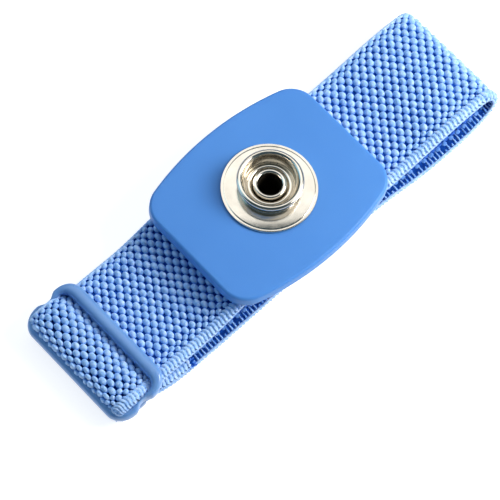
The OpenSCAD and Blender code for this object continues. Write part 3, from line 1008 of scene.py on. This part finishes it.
def slide_rim(pile):
    """The outer frame: a rounded oval section swept round a rounded rectangle, notched at the rails."""
    x0, x1, y1 = NEAR[0], FAR[0], RAIL_Y
    corner = PLAN_CORNER_R
    plan = []
    for cx, cy, a in ((x1 - corner, y1 - corner, 0), (x0 + corner, y1 - corner, 90),
                      (x0 + corner, -y1 + corner, 180), (x1 - corner, -y1 + corner, 270)):
        plan += arc((cx, cy), corner, a, a + 90, 14)
    plan.append(plan[0])
    line = smooth_line(plan, 0.12, 0.0)[:-1]
    ahead = np.roll(line, -1, 0) - np.roll(line, 1, 0)
    ahead /= np.linalg.norm(ahead, axis=1)[:, None]
    out = np.stack([ahead[:, 1], -ahead[:, 0]], 1)
    across = np.abs(out[:, 1])  # 1 on a rail, 0 on a bar
    half = BAR_HALF_W - (BAR_HALF_W - RAIL_HALF_W) * across**2
    notch = np.sqrt(np.clip(NOTCH_R**2 - (line[:, 0] - MID[0]) ** 2, 0, None)) - NOTCH_OUT
    notch = np.clip(notch, 0, None) * (across > 0.9)
    notch = np.convolve(np.pad(notch, 3, mode="wrap"), np.ones(7) / 7, "valid")
    sides = 28
    turn = np.linspace(0, 2 * math.pi, sides, endpoint=False)
    power = 2 / 2.5
    c = np.sign(np.cos(turn)) * np.abs(np.cos(turn)) ** power
    s = np.sign(np.sin(turn)) * np.abs(np.sin(turn)) ** power
    reach = half[:, None] * c[None]
    reach = np.where(reach > 0, reach * (1 - notch / (2 * half))[:, None], reach)
    reach -= (notch * 0.5)[:, None] * np.where(c > 0, 1, 0)[None]
    lift = slide_height(line[:, 0])[:, None] + RAIL_HALF_T * s[None]
    x = line[:, 0][:, None] + out[:, 0][:, None] * reach
    y = line[:, 1][:, None] + out[:, 1][:, None] * reach + SLIDE_Y
    pile.add(np.stack([x, y, lift], -1).reshape(-1, 3), [grid_faces(len(line), sides, True, True)])


def middle_bar(pile):
    """The round middle bar, closed with a fan of faces at each end."""
    sides = 32
    a = np.linspace(0, 2 * math.pi, sides, endpoint=False)
    ys = np.concatenate([[-BAR_END], np.linspace(-10.35, 10.35, 40), [BAR_END]])
    rs = np.full(len(ys), BAR_R)
    rs[[0, -1]] = BAR_R - 0.05
    x = BAR[0] + np.outer(rs, np.cos(a))
    y = SLIDE_Y + np.repeat(ys[:, None], sides, 1)
    z = BAR[1] + np.outer(rs, np.sin(a))
    ends = [[BAR[0], SLIDE_Y + y1, BAR[1]] for y1 in (-BAR_END, BAR_END)]
    k = np.arange(sides)
    n = len(ys)
    near, far = np.full(sides, n * sides), np.full(sides, n * sides + 1)
    last = (n - 1) * sides
    pile.add(
        np.concatenate([np.stack([x, y, z], -1).reshape(-1, 3), ends]),
        [grid_faces(n, sides, False, True), np.stack([near, k, (k + 1) % sides], 1),
         np.stack([far, last + (k + 1) % sides, last + k], 1)],
    )


def lug(pile, side):
    """The lug that hangs one end of the middle bar from a rail."""
    outline = rounded([(-0.85, -0.9), (0.85, -0.9), (0.75, 1.6), (-0.75, 1.6)], [0.6, 0.6, 0.1, 0.1], 6)
    m = len(outline)
    layers = []
    for y, shrink in ((10.12, 0.93), (10.18, 1.0), (10.5, 1.0), (10.56, 0.93)):
        x, z = BAR[0] + outline[:, 0] * shrink, BAR[1] + outline[:, 1] * shrink
        layers.append(np.column_stack([x, np.full(m, SLIDE_Y + side * y), z]))
    k = np.arange(m)
    middles = [layers[0].mean(0), layers[-1].mean(0)]
    walls = grid_faces(4, m, False, True)
    caps = [np.stack([np.full(m, 4 * m), k, (k + 1) % m], 1),
            np.stack([np.full(m, 4 * m + 1), 3 * m + (k + 1) % m, 3 * m + k], 1)]
    if side < 0:
        walls, caps = walls[:, ::-1], [f[:, ::-1] for f in caps]
    pile.add(np.concatenate(layers + [middles]), [walls] + caps)


def build_slide():
    pile = Pile()
    slide_rim(pile)
    middle_bar(pile)
    for side in (-1, 1):
        lug(pile, side)
    return pile.build("slide_body", [slide_plastic], 45)


attach(build_slide(), "slide", "slide_plastic", "slide_frame")


# ---------------------------------------------------------------- stitching


def stitch_row(pile, x, y, z, width, count, bow):
    """A row of stitches across the band, each a short thread bowed up from the cloth."""
    pitch = width / count
    for i in range(count):
        middle = y + (i - (count - 1) / 2) * pitch
        u = np.linspace(-1, 1, 9)
        height = z + bow * (1 - np.abs(u) ** 3) - 0.06
        line = np.column_stack([x + 0.02 * np.sin(3 * u + i), middle + 0.4 * pitch * u, height])
        pathway(pile, line, 0.11, 0, 8, lambda a, b, c: np.stack([a, b, c], -1))


hem_thread = Pile()
for x in (-29, -27.6):
    for z, bow in ((2.46, 0.12), (0.17, -0.04)):  # on the hem and under the ply
        stitch_row(hem_thread, x, -1.5, z, 18, 9, bow)
attach(hem_thread.build("hem_thread", [thread]), "slide", "sewing_thread", "end_hem_stitching")

bartack = Pile()
stitch_row(bartack, -39.72, SLIDE_Y, 1.0, 17, 12, 0.08)
attach(bartack.build("bartack_thread", [thread]), "root", "sewing_thread", "free_end_bartack")


# ---------------------------------------------------------------- tail


def build_tail():
    """The length of free end that the slide draws out, folded up behind the free end at rest."""
    pile = Pile()
    thin, narrow = 0.84, 0.94
    slab(pile, S_FREE, S_FREE + TAIL, tail_put, thin, narrow, step=0.2)
    for row, (t0, half_t, rise) in enumerate(ROWS):
        c = np.arange(0.35 + 0.5 * (row % 2), TAIL / RELAXED) * RELAXED + S_FREE
        c = c[c < S_FREE + TAIL - 0.3]
        k = len(c)
        stamp(
            pile, BUMP, c, np.full(k, t0 * narrow), np.full(k, 0.6), np.full(k, half_t * narrow),
            np.full(k, GROUND_TOP * thin), np.full(k, 0.36 * rise), YARN, 1, tail_put,
        )
    span = np.linspace(S_FREE, S_FREE + TAIL, 60)
    ripple = 0.05 * np.sin(2 * math.pi * (span - S_FREE) / (RELAXED / 2))
    cords = [(-8.2, 0.12, 0.24), (-8.6, 0.16, 0.26), (-9.0, 0.14, 0.26), (-9.3, -0.12, 0.24)]
    for t, h, r in cords + [(9.1, 0.0, 0.26)]:
        pathway(pile, np.stack([span, t + ripple, h + ripple], 1), r, CHAIN, 8, tail_put)
    return pile.build("weave_tail", BAND_MATERIALS)


tail = attach(build_tail(), None, ELASTIC)
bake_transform(tail)


# ---------------------------------------------------------------- camera, floor and light


def camera_axes(azimuth, elevation, roll):
    """Image right, image up and the way back to the camera."""
    a, e, r = map(math.radians, (azimuth, elevation, roll))
    back = Vector((math.sin(a) * math.cos(e), -math.cos(a) * math.cos(e), math.sin(e)))
    right = Vector((math.cos(a), math.sin(a), 0))
    up = back.cross(right)
    return math.cos(r) * right + math.sin(r) * up, math.cos(r) * up - math.sin(r) * right, back


RIGHT, UP, BACK = camera_axes(-48.957, 65.784, 6.674)
AIM = Vector((-5.506, -2.501, 0)) * MM  # the point on the table that the camera looks at
CAMERA_REACH = 0.400781
camera = bpy.data.objects.new("camera", bpy.data.cameras.new("camera"))
camera.data.sensor_width = 36
camera.data.lens = 187.7
camera.data.clip_start, camera.data.clip_end = 0.01, 20
camera.matrix_world = Matrix.Translation(AIM + BACK * CAMERA_REACH) @ Matrix(
    (RIGHT, UP, BACK)
).transposed().to_4x4()
bpy.context.scene.collection.objects.link(camera)
bpy.context.scene.camera = camera

floor_mesh = bpy.data.meshes.new("floor")
FLOOR = 1.2  # half its width
floor_corners = [(-FLOOR, -FLOOR, 0), (FLOOR, -FLOOR, 0), (FLOOR, FLOOR, 0), (-FLOOR, FLOOR, 0)]
floor_mesh.from_pydata(floor_corners, [], [(0, 1, 2, 3)])
floor_mesh.materials.append(floor_paper.material)
floor = bpy.data.objects.new("floor", floor_mesh)
floor.location.z = -0.00002
bpy.context.scene.collection.objects.link(floor)


def area_light(name, place, size, power, colour=(1, 1, 1)):
    """A soft box facing the strap, placed by image right, image up and towards the camera."""
    data = bpy.data.lights.new(name, "AREA")
    data.shape = "RECTANGLE"
    data.size, data.size_y = size
    data.energy = power
    data.color = colour
    light = bpy.data.objects.new(name, data)
    where = AIM + RIGHT * place[0] + UP * place[1] + BACK * place[2]
    facing = (where - AIM).to_track_quat("Z", "Y").to_matrix().to_4x4()
    light.matrix_world = Matrix.Translation(where) @ facing
    bpy.context.scene.collection.objects.link(light)


area_light("key", (0.19, 0.07, 0.13), (0.11, 0.11), 0.66)
area_light("top", (0.0, 0.56, 0.42), (0.95, 0.44), 2.1)
area_light("left_card", (-0.42, 0.16, 0.22), (0.34, 0.6), 0.62, (0.36, 0.72, 1.0))
area_light("right_card", (0.6, -0.05, 0.22), (0.3, 0.5), 0.65)

world = bpy.data.worlds.new("studio")
world.use_nodes = True
backdrop = world.node_tree.nodes["Background"]
backdrop.inputs["Color"].default_value = (0.45, 0.75, 1.0, 1)
backdrop.inputs["Strength"].default_value = 0.12
bpy.context.scene.world = world
bpy.context.scene.view_settings.view_transform = "Standard"
